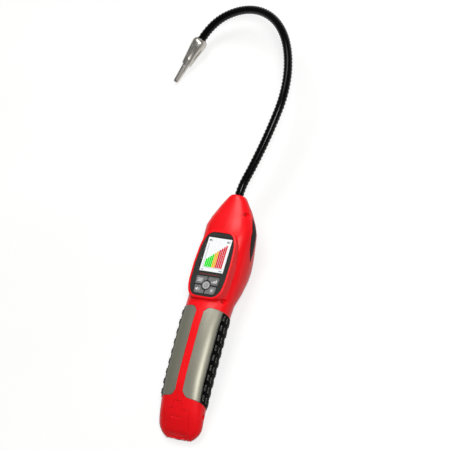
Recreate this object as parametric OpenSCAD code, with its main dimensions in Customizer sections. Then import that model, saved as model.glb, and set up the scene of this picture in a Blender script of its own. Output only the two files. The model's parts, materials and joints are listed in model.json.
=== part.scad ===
// Handheld refrigerant leak detector with a colour display and a flexible probe.
// Device axes: Y runs from the heel of the handle to the nose, Z is the display side, X is sideways.
// The part lies on its back: the origin is the flat under the head where it rests.

/* [Body] */
// Length of the grip handle, heel to the top of the grips
handle_len = 143; // [130:1:160]
// Length of the head, top of the grips to the nose
head_len = 138; // [125:1:150]
// Half width of the handle
handle_half_w = 27; // [25:0.5:29]
// Half depth of the handle
handle_half_d = 18; // [16.5:0.1:19.5]
// Half width of the head at its fullest
head_half_w = 31; // [29:0.5:33]
// How far the back of the head lies behind the handle axis
head_back = 35; // [31:0.5:38]
// Radius of the nose where the probe comes out
nose_r = 8; // [7.5:0.25:9]
// Wall of the moulded halves
wall = 2.4; // [2:0.1:3]
// How far the rounding of the heel runs up the handle
heel_round = 18; // [14:0.5:20]
// How much the rounding narrows the heel on each side
heel_in_w = 14; // [10:0.5:15]
// How much the rounding thins the heel, front and back
heel_in_d = 7; // [5:0.25:7.5]
// How much higher up the handle the rounding lies at the front than at the sides
heel_lean = 4; // [3:0.5:5]

/* [Grips] */
// Lower end of the grips on the handle axis
grip_low = 40; // [36:1:46]
// Lean of the grip ends, forward rise per millimetre
grip_lean = 0.25; // [0.1:0.01:0.35]
// Half width of the bare strip between the panels
strip_half_w = 4.6; // [3.5:0.1:6]
// Angle on the section where the panel meets the rubber
panel_angle = 60; // [52:1:68]
// Depth of the recess that takes panels and grips
recess = 2.2; // [1.8:0.1:2.6]
// How far the rubber stands out of the case
grip_proud = 0.7; // [0.4:0.1:1.6]
// Height of the moulded grip ribs
rib_h = 0.7; // [0.4:0.1:1.4]
// Number of rib rows along the grip
rib_rows = 9; // [6:1:10]
// Number of ribs in a row
rib_count = 5; // [4:1:6]

/* [Face] */
// Width of the visible screen
screen_w = 30.4; // [28:0.2:31]
// Length of the visible screen
screen_l = 40; // [36:0.5:42]
// Screen centre above the top of the grips
screen_rise = 63.7; // [60:0.5:66]
// Height of the face above the handle axis at the screen centre
face_h = 15.8; // [15:0.1:17]
// Lean of the face, lower end raised
face_tilt = 3.5; // [2:0.5:5]
// Half width of the bezel at its fullest
bezel_half_w = 21.8; // [20.5:0.1:23]
// Bezel above the screen centre
bezel_top = 26; // [25:0.5:28]
// Bezel below the screen centre
bezel_low = 49.5; // [48:0.5:51]
// Width of the rim round the bezel
rim = 2.4; // [1.8:0.1:3]
// Diameter of the round key
round_key_d = 8.8; // [7.5:0.1:10]
// Travel of the keys
key_travel = 0.6; // [0.4:0.1:0.7]

/* [Probe] */
// Radius of the flexible probe over its ribs
probe_r = 5.2; // [4.5:0.1:5.6]
// Depth of the grooves between the probe's ribs
groove = 0.7; // [0.4:0.1:1]
// Number of ribs on the probe
probe_ribs = 84; // [60:1:110]
// Largest radius of the sensor tip
cone_r = 8.8; // [8:0.1:10]
// Length of the sensor tip
cone_len = 34.5; // [30:0.5:39]
// Length of the nozzle
nozzle_len = 24; // [18:0.5:28]
// Radius of the inlet bore
inlet_r = 1.6; // [1.2:0.1:2]

/* [Battery] */
// Diameter of a battery cell
cell_d = 18.4; // [16:0.1:19]
// Length of a battery cell
cell_l = 50; // [44:0.5:51]
// Half width of the battery door
door_half_w = 14.4; // [12:0.1:15]
// Length of the door up to its shoulders
door_len = 30; // [26:0.5:32]
// Length of the latch tab above the shoulders
latch_len = 8.5; // [6:0.5:10]
// Half width of the latch tab
latch_half_w = 5.4; // [4:0.1:7]

/* [Hidden] */

fit = 0.3;            // room between pieces that move past each other
seat = 0.15;          // room round a piece that is held
half_pts = 16;        // points on each half of a case section
over = 0.5;           // how far a cutter runs past the face it cuts

// Stations of the case: [y, half width, front, back, roundness]
body_len = handle_len + head_len;
exit_z = -1.6;        // the probe leaves the nose just behind the handle axis
neck_y = handle_len + 12;
full_y = handle_len + 57;
stations = [
    [0, handle_half_w - 2, -1, -handle_half_d, 2.3],
    [14, handle_half_w, 2, -handle_half_d, 2.3],
    [26, handle_half_w, handle_half_d - 10, -handle_half_d, 2.4],
    [60, handle_half_w, handle_half_d - 0.4, -handle_half_d, 2.4],
    [handle_len - 18, handle_half_w, handle_half_d, -handle_half_d, 2.4],
    [neck_y, handle_half_w + 0.4, handle_half_d - 3.4, -handle_half_d - 1.6, 2.4],
    [neck_y + 17, head_half_w - 1.6, handle_half_d - 4.1, -head_back + 8, 2.5],
    [full_y, head_half_w, handle_half_d - 4.5, -head_back, 2.5],
    [body_len - 41, head_half_w - 0.8, handle_half_d - 4.9, -head_back + 10, 2.5],
    [body_len - 19, head_half_w - 9.3, exit_z + 10.3, exit_z - 15.4, 2.3],
    [body_len - 8, nose_r + 6.7, exit_z + 8.6, exit_z - 9.6, 2.1],
    [body_len, nose_r + 1, exit_z + nose_r + 0.2, exit_z - nose_r - 0.2, 2]
];
nose_round = 2.5;

// Smooth interpolation through the stations that never overshoots
function slope(c, i) =
    i == 0 || i == len(stations) - 1 ? 0 :
    let (d0 = (stations[i][c] - stations[i - 1][c]) / (stations[i][0] - stations[i - 1][0]),
         d1 = (stations[i + 1][c] - stations[i][c]) / (stations[i + 1][0] - stations[i][0]))
    d0 * d1 <= 0 ? 0 : 2 * d0 * d1 / (d0 + d1);
function end_slope(c, i) =
    let (j = i == 0 ? 1 : i, a = stations[j - 1], b = stations[j], d = (b[c] - a[c]) / (b[0] - a[0]))
    i == 0 || i == len(stations) - 1 ? d : slope(c, i);
function span(y) = max([0, for (i = [0 : len(stations) - 2]) if (y > stations[i][0]) i]);
function along(c, y) =
    let (i = span(y), a = stations[i], b = stations[i + 1], w = b[0] - a[0], t = (y - a[0]) / w,
         t2 = t * t, t3 = t2 * t)
    a[c] * (2 * t3 - 3 * t2 + 1) + b[c] * (3 * t2 - 2 * t3)
    + w * (end_slope(c, i) * (t3 - 2 * t2 + t) + end_slope(c, i + 1) * (t3 - t2));
function rounding(d, r) = d >= r ? 0 : r - sqrt(max(0, r * r - (r - d) * (r - d)));
function heel_curve(y) = y >= heel_round ? 0 : 1 - sqrt(max(0, 1 - pow(1 - y / heel_round, 2)));
function inset(y, heel_in, lean) =
    heel_in * heel_curve(max(0, y - lean)) + rounding(body_len - y, nose_round);

// A point of the case: y along it, t round it from the front through +X, off outward
function power(v, e) = sign(v) * pow(abs(v), e);
function on_case(y, t, off = 0) =
    let (f = along(2, y), b = along(3, y), e = 2 / along(4, y), lean = heel_lean * cos(t),
         half_w = along(1, y) + off - inset(y, heel_in_w, lean),
         half_d = (f - b) / 2 + off - inset(y, heel_in_d, lean))
    [half_w * power(sin(t), e), y, (f + b) / 2 + half_d * power(cos(t), e)];
function strip_angle(half_w) = asin(pow(half_w / handle_half_w, 1.2));

// Closed loft through rings of points, all rings having the same count
module rings(list) {
    m = len(list[0]);
    n = len(list);
    side = [for (j = [0 : n - 2], k = [0 : m - 1])
        let (a = j * m + k, b = j * m + (k + 1) % m, c = a + m, d = b + m) each [[a, d, b], [a, c, d]]];
    first = [[for (k = [0 : m - 1]) k]];
    last = [[for (k = [0 : m - 1]) n * m - 1 - k]];
    polyhedron([for (r = list) each r], concat(side, first, last), convexity = 6);
}
function case_ring(y, off, m) = [for (k = [0 : m - 1]) on_case(y, 360 * k / m, off)];
heel_rows = [for (a = [0, 16, 29, 41, 53, 66]) (heel_round + heel_lean) * (1 - cos(a))];
nose_rows = [for (d = [28, 21, 15, 10, 6, 2.6, 1, 0.2, 0]) body_len - d];
case_rows = concat(heel_rows, [18, 25, 32, 40, 50, 62], [handle_len - 18, handle_len - 4],
    [for (k = [0 : 3]) handle_len + 6 + k * 8],
    [for (k = [-2 : 4]) full_y + k * (nose_rows[0] - full_y) / 5], nose_rows);
module case_solid() rings([for (y = case_rows) case_ring(y, 0, 2 * half_pts)]);

// The hollow inside; it is smaller along the handle, where the recess takes some of the wall
function ramp(y, a, b) = let (t = max(0, min(1, (y - a) / (b - a)))) t * t * (3 - 2 * t);
function hollow_off(y) =
    -wall - recess * ramp(y, grip_low - 14, grip_low - 5) * (1 - ramp(y, handle_len + 5, handle_len + 14));
hollow_end = body_len - 30;
heel_wall = 5;        // the heel's end is thicker than the other walls
hollow_rows = concat([heel_wall, 8, 13, 19], [grip_low - 14, grip_low - 5, 60],
    [handle_len - 18, handle_len + 5, handle_len + 14],
    [for (k = [0 : 5]) handle_len + 24 + k * (hollow_end - handle_len - 24) / 5]);
inner_pts = 12;       // points round a section of the hollow
module hollow(grow = 0) rings([for (y = hollow_rows) case_ring(y, hollow_off(y) + grow, inner_pts)]);

// Where the part lies: on the flat under the head and on the heel
heel_rest_y = 10;
rest_tilt = atan((head_back - handle_half_d) / (full_y - heel_rest_y));
rest_sink = 0.6;      // the case is cut flat this deep where it rests
module lie() rotate([rest_tilt, 0, 0]) translate([0, -full_y, head_back - rest_sink]) children();
module table() rotate([-rest_tilt, 0, 0]) translate([-60, -260, -20]) cube([120, 420, 20]);
module table_cut() translate([0, full_y, rest_sink - head_back]) table();

// Band of the case surface with thickness, between two angles; its ends lean with the grips
function band_y(y, t) = y + grip_lean * on_case(y, t)[2];
function band_point(y, t, off) = let (w = band_y(y, t)) on_case(w, t, off);
module band(outer, inner) {
    ny = len(outer);
    nt = len(outer[0]);
    m = ny * nt;
    function at(j, k) = j * nt + k;
    top = [for (j = [0 : ny - 2], k = [0 : nt - 2])
        each [[at(j, k), at(j + 1, k + 1), at(j, k + 1)], [at(j, k), at(j + 1, k), at(j + 1, k + 1)]]];
    under = [for (f = top) [m + f[0], m + f[2], m + f[1]]];
    edge = concat([for (k = [0 : nt - 1]) at(0, k)], [for (j = [1 : ny - 1]) at(j, nt - 1)],
        [for (k = [nt - 2 : -1 : 0]) at(ny - 1, k)], [for (j = [ny - 2 : -1 : 1]) at(j, 0)]);
    ne = len(edge);
    walls = [for (i = [0 : ne - 1]) let (a = edge[i], b = edge[(i + 1) % ne])
        each [[a, m + b, m + a], [a, b, m + b]]];
    points = concat([for (r = outer) each r], [for (r = inner) each r]);
    polyhedron(points, concat(top, under, walls), convexity = 6);
}
module mirrored(side) mirror([side < 0 ? 1 : 0, 0, 0]) children();

// Grip pieces
strip_t = strip_angle(strip_half_w);
panel_ease = 0.8;     // extra corner radius that lets a panel or a grip drop in
panel_corner = 5;     // radius of the panel's corners beside the strip
grip_spans = 5;       // spans along the panels and grips
panel_gap = 0.35;     // groove between a panel and the rubber, in degrees
function corner_cut(d, extra = 0) = rounding(d, panel_corner + extra);
module grip_recess(side) {
    half = [0, 0.012, 0.03, 0.06, 0.12, 0.22, 0.32, 0.42];
    shares = concat(half, 0.5, [for (k = [7 : -1 : 0]) 1 - half[k]]);
    ts = [for (u = shares) strip_t + (180 - 2 * strip_t) * u];
    function inner_end(t) = corner_cut(handle_half_w * sin(min(t, 180 - t)) - strip_half_w);
    function row(k, off) = [for (t = ts)
        let (c = inner_end(t),
             y = grip_low - seat + c + (handle_len - grip_low + 2 * (seat - c)) * k / grip_spans)
        band_point(y, t, off)];
    mirrored(side) band([for (k = [0 : grip_spans]) row(k, 4)], [for (k = [0 : grip_spans]) row(k, -recess)]);
}
module panel(side) {
    n = 9;
    t0 = strip_t + 0.5;
    t1 = panel_angle - panel_gap;
    ts = [for (k = [0 : n]) t0 + (t1 - t0) * k / n];
    function row(k, off) = [for (t = ts)
        let (c = corner_cut(handle_half_w * sin(t) - strip_half_w, panel_ease),
             y = grip_low + seat + c + (handle_len - grip_low - 2 * (seat + c)) * k / grip_spans)
        band_point(y, t, off)];
    mirrored(side)
        band([for (k = [0 : grip_spans]) row(k, 0.1)], [for (k = [0 : grip_spans]) row(k, seat - recess)]);
}
rib_first = 12;       // first rib after the panel's edge, in degrees round the section
rib_spread = 62;      // from the first rib of a row to the last, in degrees
rib_half_t = 3.2;     // half width of a rib, in degrees
// A rib of the grip: a low bar with sloping sides, given by its place on the surface
module grip_rib(y, t, half_l, half_t) hull() polyhedron(
    [for (z = [0, 1], c = [[-1, -1], [1, -1], [1, 1], [-1, 1]])
        band_point(y + c[0] * (half_l - z * 0.6), t + c[1] * half_t * (1 - 0.4 * z),
                   grip_proud + (z ? rib_h : -0.4))],
    [[3, 2, 1, 0], [4, 5, 6, 7], [0, 1, 5, 4], [1, 2, 6, 5], [2, 3, 7, 6], [3, 0, 4, 7]]);
module grip(side) {
    t0 = panel_angle + panel_gap;
    t1 = 180 - strip_t - 0.5;
    low = grip_low + seat;
    high = handle_len - seat;
    pitch = (high - low) / rib_rows;
    step = rib_spread / (rib_count - 1);
    n = 9;
    ts = concat([for (k = [0 : n - 1]) t0 + (t1 - t0) * k / n], [t1 - 4, t1]);
    function row(k, off) = [for (t = ts)
        let (c = t > 90 ? corner_cut(handle_half_w * sin(180 - t) - strip_half_w, panel_ease) : 0,
             y = low + c + (high - low - 2 * c) * k / grip_spans)
        band_point(y, t, off)];
    mirrored(side) {
        band([for (k = [0 : grip_spans]) row(k, grip_proud)],
             [for (k = [0 : grip_spans]) row(k, 2 * seat - recess)]);
        for (r = [0 : rib_rows - 1], c = [0 : rib_count - 1])
            grip_rib(low + pitch * (r + 0.5), t0 + rib_first + step * c, pitch * 0.27, rib_half_t);
    }
}

// Face: a frame at the screen centre, local Y toward the nose and local Z out of the screen
module face() translate([0, handle_len + screen_rise, face_h]) rotate([-face_tilt, 0, 0]) children();
function barrel(y) = bezel_half_w * (1 - 0.17 * pow((y + 17) / 42, 2));
module bezel_outline(grow = 0) offset(delta = grow) polygon([for (k = [0 : 39])
    let (y = (bezel_top - bezel_low) / 2 + (bezel_top + bezel_low) / 2 * power(cos(9 * k), 0.4))
    [barrel(y) * power(sin(9 * k), 0.4), y]]);
bezel_drop = 0.6;     // the bezel lies this far below its rim
bezel_t = 2;
ledge = 2.2;          // width of the ledge that carries the bezel
face_under = bezel_drop + bezel_t;
window_t = 1.2;
window_lap = 1;
key_row = -36.5;      // keypad centre below the screen centre
key_gap = 1.6;
board_z = 8;          // top of the main board below the face
board_t = 1.6;
board_half_w = 15;
board_low = 46;
board_top = 26;

platform_h = 12;      // the raised face reaches this deep into the case
rim_round = 0.9;
function outline_ring(grow, z) = [for (k = [0 : 39])
    let (y = (bezel_top - bezel_low) / 2 + (bezel_top + bezel_low) / 2 * power(cos(9 * k), 0.4),
         y_out = (bezel_top - bezel_low) / 2 + ((bezel_top + bezel_low) / 2 + grow) * power(cos(9 * k), 0.4))
    [(barrel(y) + grow) * power(sin(9 * k), 0.4), y_out, z]];
module face_platform() face() rings([
    outline_ring(rim - rim_round, 0),
    outline_ring(rim - 0.3 * rim_round, -0.25 * rim_round),
    outline_ring(rim, -rim_round),
    outline_ring(rim + 0.8, -platform_h)
]);
module face_pocket() face() {
    translate([0, 0, -face_under]) linear_extrude(face_under + over) bezel_outline(seat);
    translate([0, 0, board_t - platform_h]) linear_extrude(platform_h) {
        bezel_outline(-ledge);
        offset(delta = seat) lcd_shape();
        translate([0, key_row]) key_field(key_lap + fit);
    }
}

lcd_rim = 0.6;        // frame of the display module beside the picture
module lcd_shape() square([screen_w + 2 * lcd_rim, screen_l + 2 * lcd_rim], center = true);
key_lap = 0.45;       // the keys' flanges reach this far under the bezel
module key_field(grow) offset(r = 1.5 + grow) offset(delta = -1.5)
    polygon([[-14.8, 10], [14.8, 10], [12.8, -10], [-12.8, -10]]);
module key_ring(grow) circle(r = round_key_d / 2 + 1.6 - grow, $fn = 48);
module corner_key_shape(sx, sy, grow = 0) difference() {
    intersection() {
        key_field(grow);
        translate([sx > 0 ? key_gap / 2 - grow : -20, sy > 0 ? key_gap / 2 - grow : -20])
            square([20 - key_gap / 2 + grow, 20 - key_gap / 2 + grow]);
    }
    key_ring(grow);
}
key_top = 0.3;        // key tops above the rim
key_flange = 0.9;     // thickness of the retaining flange under the bezel
switch_h = 1.2;
stem_low = board_z - switch_h - key_travel - fit;
stem_r = 1.4;
key_at = [9, 5.6];    // stems of the corner keys from the keypad centre
module key_solid(stem) {
    translate([0, 0, -face_under - fit - 0.1]) linear_extrude(face_under + fit + 0.1 + key_top) children(0);
    translate([0, 0, -face_under - fit - key_flange]) linear_extrude(key_flange) children(1);
    translate([stem[0], stem[1], -stem_low]) cylinder(r = stem_r, h = stem_low - face_under - fit, $fn = 24);
}
module corner_key(sx, sy) face() translate([0, key_row, 0]) key_solid([sx * key_at[0], sy * key_at[1]]) {
    corner_key_shape(sx, sy, -0.05);
    corner_key_shape(sx, sy, key_lap);
}
module key_holes() translate([0, key_row]) {
    for (sx = [-1, 1], sy = [-1, 1]) corner_key_shape(sx, sy, fit);
    circle(r = round_key_d / 2 + fit, $fn = 48);
}

// Side inserts: lens-shaped pieces on the fullest line of the head
insert_mid = body_len - 46.5;
insert_len = 47;
insert_w = 8.4;
insert_z = -5.4;
insert_rise = 0.146;  // the insert's line climbs towards the nose
insert_t = 2;
function angle_at(y, z) = let (f = along(2, y), b = along(3, y))
    acos(power((z - (f + b) / 2) / ((f - b) / 2), along(4, y) / 2));
function insert_row(v, grow, off) = [for (k = [0 : 10])
    let (u = k / 5 - 1,
         y = insert_mid + u * (insert_len / 2 + 4 * grow),
         half = (insert_w / 2) * (1 - u * u) + 0.25 + grow,
         z = insert_z + insert_rise * (y - insert_mid) - 1.2 * u * u)
    on_case(y, angle_at(y, z + v * half), off)];
module insert_block(side, grow, low, high) mirrored(side)
    band([for (v = [-1 : 1]) insert_row(v, grow, high)], [for (v = [-1 : 1]) insert_row(v, grow, low)]);

// Case screws come in from the right side: [y, z]
screws = [[body_len - 22.4, exit_z + 5.2], [neck_y + 2, 8.3], [28.5, -5.9]];
screw_r = 1.5;
screw_head_r = 2.9;
boss_r = 3.2;
screw_sink = 5;       // seat of the screw heads below the case surface
function side_x(s) = on_case(s[0], angle_at(s[0], s[1]))[0] - screw_sink;
module along_x(s, x0, x1, r, n = 20) translate([x0, s[0], s[1]]) rotate([0, 90, 0])
    cylinder(r = r, h = x1 - x0, $fn = n);

// Finger grooves across the end of the heel
scallop_pitch = 4.2;
scallop_r = 1.5;
module heel_scallops() for (side = [-1, 1], k = [2 : 4])
    translate([side * k * scallop_pitch, -0.2, -handle_half_d - over])
    cylinder(r = scallop_r, h = handle_half_d, $fn = 10);

// Battery door outline on the front of the heel
door_back = -7.8;     // the door wraps the heel down to this height
latch_back = 5;       // the latch tab stays above the contact's rib
module door_shape(grow, half_w, top) offset(r = 1 + grow) offset(delta = -1)
    translate([-half_w, -20]) square([2 * half_w, top + 20]);
module door_prism(grow) {
    translate([0, 0, door_back - grow]) linear_extrude(40) door_shape(grow, door_half_w, door_len);
    translate([0, 0, latch_back - grow]) linear_extrude(40)
        door_shape(grow, latch_half_w, door_len + latch_len);
}

// Battery and sleeve along the handle
cell_z = -2.4;
cell_low = 36;
sleeve_r = cell_d / 2 + 1.3;
sleeve_low = 44;
sleeve_high = cell_low + 2 * cell_l + 8;
module on_axis(y, z = cell_z) translate([0, y, z]) rotate([-90, 0, 0]) children();

// Inside the head
cell_block = [15, head_len - 88, 15];
cell_block_at = [4, handle_len + 36, -18];
pump_at = [-20, handle_len + 38, -20];
pump_size = [20, 20, 18];
motor_r = 9;
motor_len = 25;
motor_axis = [pump_at[0] + pump_size[0] / 2, pump_at[1] + pump_size[1], pump_at[2] + pump_size[2] / 2];
module inner_room(grow) {
    translate(cell_block_at - [grow, body_len, grow])
        cube([cell_block[0] + 2 * grow, 2 * body_len, cell_block[2] + 2 * grow]);
    translate(pump_at - [grow, body_len, grow])
        cube([pump_size[0] + 2 * grow, body_len + pump_size[1] + grow, pump_size[2] + 2 * grow]);
    translate(motor_axis) rotate([-90, 0, 0]) cylinder(r = motor_r + grow, h = motor_len + 60, $fn = 20);
}
head_ribs = [pump_at[1] + 12, motor_axis[1] + 14];
handle_ribs = [sleeve_low + 14, sleeve_high - 14];
contact_rib = cell_low - 4;
rib_t = 2;

ferrule_r = 6.9;
ferrule_low = body_len - 17.5;
ferrule_len = 12;
charge_r = 3.2;
charge_z = -11.6;
charge_len = 12;

// Ribs, bosses and bulkheads moulded inside the halves
module inner_ribs() {
    intersection() {
        hollow(0.8);
        difference() {
            for (y = head_ribs) translate([-60, y, -60]) cube([120, rib_t, 56]);
            inner_room(seat);
        }
    }
    intersection() {
        hollow(0.8);
        difference() {
            for (y = handle_ribs) translate([-60, y, -60]) cube([120, rib_t, 120]);
            on_axis(0) cylinder(r = sleeve_r + seat, h = body_len, $fn = 24);
        }
    }
    intersection() {
        hollow(0.8);
        translate([-60, contact_rib, -60]) cube([120, rib_t, 60 + cell_z + 6]);
    }
}
module screw_bosses() intersection() {
    case_solid();
    for (s = screws, a = [0, 120, 240]) hull() {
        along_x(s, -60, 60, boss_r, 8);
        translate([-60, s[0], s[1]]) rotate([a, 0, 0]) translate([0, -0.6, 0]) cube([120, 1.2, boss_r + 2.4]);
    }
}

// The halves part just left of the middle, so the right half carries the middle of the rest
seam_x = -0.5;
seam_gap = 0.08;
module half_space(side)
    translate([seam_x + side * seam_gap / 2 + (side > 0 ? 0 : -body_len), -body_len, -body_len])
    cube([body_len, 3 * body_len, 2 * body_len]);
module case_half(side) difference() {
    intersection() {
        union() {
            difference() {
                union() {
                    case_solid();
                    face_platform();
                }
                hollow();
            }
            inner_ribs();
            screw_bosses();
        }
        half_space(side);
    }
    face_pocket();
    grip_recess(side);
    door_prism(fit);
    insert_block(side, seat, -insert_t - 0.05, 3);
    on_axis(body_len - 60, exit_z) cylinder(r = probe_r + 0.25, h = 80, $fn = 20);
    on_axis(ferrule_low - seat, exit_z) cylinder(r = ferrule_r + seat, h = ferrule_len + 2 * seat, $fn = 20);
    on_axis(-1, charge_z) cylinder(r = charge_r + seat, h = charge_len + 2, $fn = 20);
    for (s = screws) {
        along_x(s, -14, 60, screw_r + 0.1, 14);
        along_x(s, side_x(s), 60, screw_head_r + seat);
    }
    heel_scallops();
    table_cut();
}
module housing_right() color([0.9, 0.06, 0.08]) lie() case_half(1);
module housing_left() color([0.88, 0.06, 0.08]) lie() case_half(-1);
module panel_right() color([0.52, 0.52, 0.49]) lie() panel(1);
module panel_left() color([0.52, 0.52, 0.49]) lie() panel(-1);
module grip_right() color([0.06, 0.06, 0.06]) lie() grip(1);
module grip_left() color([0.06, 0.06, 0.06]) lie() grip(-1);

door_t = 2;
door_ribs = [-11, 11];
module battery_door() color([0.9, 0.06, 0.08]) lie() difference() {
    intersection() {
        case_solid();
        door_prism(0);
    }
    difference() {
        rings([for (y = hollow_rows) if (y < 80) case_ring(y, -door_t, inner_pts)]);
        for (x = door_ribs) hull() {
            translate([x - 0.6, 0, 0]) cube([1.2, 5, 20]);
            translate([x - 0.6, door_len - 6, 6]) cube([1.2, 4, 20]);
        }
    }
    heel_scallops();
    translate([-7, door_len - 9, on_case(door_len - 9, 0)[2] + 0.4]) rotate([0, 90, 0])
        cylinder(r = 1.1, h = 14, $fn = 12);
}
contact_r = 6;
module heel_contact() color([0.85, 0.65, 0.25]) lie() on_axis(contact_rib + rib_t) {
    cylinder(r = contact_r, h = 0.5, $fn = 32);
    cylinder(r = 3, h = cell_low - contact_rib - rib_t, $fn = 32);
}

post_r = 1;
post_x = 8;
post_y = screen_l / 2 + lcd_rim + post_r + 0.6;
module bezel() color([0.2, 0.21, 0.2]) lie() face() difference() {
    union() {
        translate([0, 0, -face_under]) linear_extrude(bezel_t) bezel_outline();
        for (sx = [-1, 1], sy = [-1, 1]) translate([sx * post_x, sy * post_y, -board_z])
            cylinder(r = post_r, h = board_z - face_under + 0.2, $fn = 24);
    }
    translate([0, 0, -bezel_drop - window_t - 0.1]) linear_extrude(5)
        offset(delta = window_lap + seat) square([screen_w, screen_l], center = true);
    translate([0, 0, -10]) linear_extrude(20) square([screen_w, screen_l], center = true);
    translate([0, 0, -10]) linear_extrude(20) key_holes();
}
module display_window() color([0.8, 0.85, 0.9, 0.5]) lie() face()
    translate([0, 0, -bezel_drop - window_t - 0.1]) linear_extrude(window_t)
    offset(delta = window_lap) square([screen_w, screen_l], center = true);
lcd_gap = 0.1;
module lcd_module() color([0.92, 0.93, 0.95]) lie() face() translate([0, 0, -board_z])
    linear_extrude(board_z - face_under - lcd_gap)
    lcd_shape();
module key_power() color([0.75, 0.75, 0.75]) lie() face() translate([0, key_row, 0]) key_solid([0, 0]) {
    circle(r = round_key_d / 2, $fn = 48);
    circle(r = round_key_d / 2 + 0.7, $fn = 48);
}
module key_top_left() color([0.5, 0.5, 0.5]) lie() corner_key(-1, 1);
module key_top_right() color([0.5, 0.5, 0.5]) lie() corner_key(1, 1);
module key_bottom_left() color([0.5, 0.5, 0.5]) lie() corner_key(-1, -1);
module key_bottom_right() color([0.5, 0.5, 0.5]) lie() corner_key(1, -1);

module main_board() color([0.1, 0.35, 0.18]) lie() face() translate([0, 0, -board_z - board_t])
    linear_extrude(board_t) intersection() {
        bezel_outline(-ledge - seat);
        translate([-board_half_w, -board_low]) square([2 * board_half_w, board_low + board_top]);
    }
switch_w = 4.4;
module tact_switches() color([0.15, 0.15, 0.16]) lie() face() translate([0, key_row, -board_z])
    for (p = [[0, 0], [1, 1], [1, -1], [-1, 1], [-1, -1]])
        translate([p[0] * key_at[0] - switch_w / 2, p[1] * key_at[1] - switch_w / 2, 0])
        cube([switch_w, switch_w, switch_h]);
buzzer_r = 6;
buzzer_h = 5;
buzzer_y = -24;
module buzzer() color([0.08, 0.08, 0.08]) lie() face()
    translate([0, buzzer_y, -board_z - board_t - buzzer_h]) difference() {
        cylinder(r = buzzer_r, h = buzzer_h, $fn = 40);
        translate([0, 0, -1]) cylinder(r = 1.2, h = 2.5, $fn = 24);
    }

module pump_head() color([0.3, 0.3, 0.32]) lie() difference() {
    translate(pump_at) cube(pump_size);
    translate(pump_at + [5, 8, pump_size[2]]) cylinder(r = 1.5, h = 4, center = true, $fn = 24);
}
module pump_motor() color([0.72, 0.72, 0.74]) lie() translate(motor_axis) rotate([-90, 0, 0]) {
    cylinder(r = motor_r, h = motor_len - 2, $fn = 48);
    translate([0, 0, motor_len - 2]) cylinder(r = 3, h = 2, $fn = 32);
}
module sensor_cell() color([0.7, 0.72, 0.75]) lie() translate(cell_block_at) difference() {
    cube(cell_block);
    translate([cell_block[0] / 2, -1, cell_block[2] / 2]) rotate([-90, 0, 0])
        cylinder(r = hose_r + seat, h = cell_block[1] + 2, $fn = 32);
}
hose_r = 2;
hose_x = cell_block_at[0] + cell_block[0] / 2;
hose_z = cell_block_at[2] + cell_block[2] / 2;
hose_start = cell_block_at[1] + cell_block[1] - 4;
hose_straight = hollow_end - 3;
function hose_mid(y) = let (e = ramp(y, hose_start + 3, hose_straight))
    [hose_x * (1 - e), y, hose_z + (exit_z - hose_z) * e];
module sample_hose() color([0.85, 0.85, 0.8]) lie() {
    n = 9;
    rows = concat([for (j = [0 : n]) hose_start + (hose_straight - hose_start) * j / n], [ferrule_low]);
    rings([for (y = rows) [for (k = [0 : 7]) hose_mid(y) + hose_r * [cos(45 * k), 0, -sin(45 * k)]]]);
}
module pump_hose() color([0.85, 0.85, 0.8]) lie() {
    x_pump = motor_axis[0];
    bend = (hose_x - x_pump) / 2;
    translate([(hose_x + x_pump) / 2, min(pump_at[1], cell_block_at[1]) - 1, hose_z]) rotate([0, 0, 180])
        rotate_extrude(angle = 180, $fn = 64) translate([bend, 0]) circle(r = hose_r, $fn = 24);
    y0 = min(pump_at[1], cell_block_at[1]) - 1;
    translate([hose_x, y0, hose_z]) rotate([-90, 0, 0])
        cylinder(r = hose_r, h = cell_block_at[1] + 4 - y0, $fn = 24);
    translate([x_pump, y0, hose_z]) rotate([-90, 0, 0])
        cylinder(r = hose_r, h = pump_at[1] - y0, $fn = 24);
}

module side_insert_right() color([0.03, 0.03, 0.03]) lie() insert_block(1, 0, -insert_t, 0.25);
module side_insert_left() color([0.03, 0.03, 0.03]) lie() insert_block(-1, 0, -insert_t, 0.25);

module battery_sleeve() color([0.2, 0.2, 0.22]) lie() on_axis(sleeve_low) difference() {
    cylinder(r = sleeve_r, h = sleeve_high - sleeve_low, $fn = 64);
    translate([0, 0, -1]) cylinder(r = cell_d / 2 + 0.3, h = sleeve_high - sleeve_low - 1, $fn = 64);
}
module battery_cell(y) on_axis(y) {
    translate([0, 0, 1.2]) cylinder(r = cell_d / 2, h = cell_l - 1.2, $fn = 64);
    cylinder(r = 3, h = 1.2, $fn = 32);
}
module battery_cell_lower() color([0.15, 0.35, 0.6]) lie() battery_cell(cell_low);
module battery_cell_upper() color([0.15, 0.35, 0.6]) lie() battery_cell(cell_low + cell_l);
spring_turns = 3;
wire_r = 0.45;
module battery_spring() color([0.8, 0.8, 0.82]) lie() on_axis(cell_low + 2 * cell_l) {
    room = sleeve_high - cell_low - 2 * cell_l - 2;
    n = 9 * spring_turns;
    rings([for (j = [0 : n])
        let (t = j / n, a = 40 * j, r = 6.5 - 2.5 * t, h = room - 0.5 - (room - 1) * t)
        [for (k = [0 : 4]) let (c = r + wire_r * cos(72 * k))
            [cos(a) * c, sin(a) * c, h - wire_r * sin(72 * k)]]]);
}
module charge_socket() color([0.05, 0.05, 0.05]) lie() on_axis(1.2, charge_z) {
    difference() {
        cylinder(r = charge_r, h = charge_len, $fn = 48);
        translate([0, 0, -1]) cylinder(r = 2.1, h = 10, $fn = 32);
    }
    translate([0, 0, 1]) cylinder(r = 0.7, h = charge_len - 2, $fn = 24);
}
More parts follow.
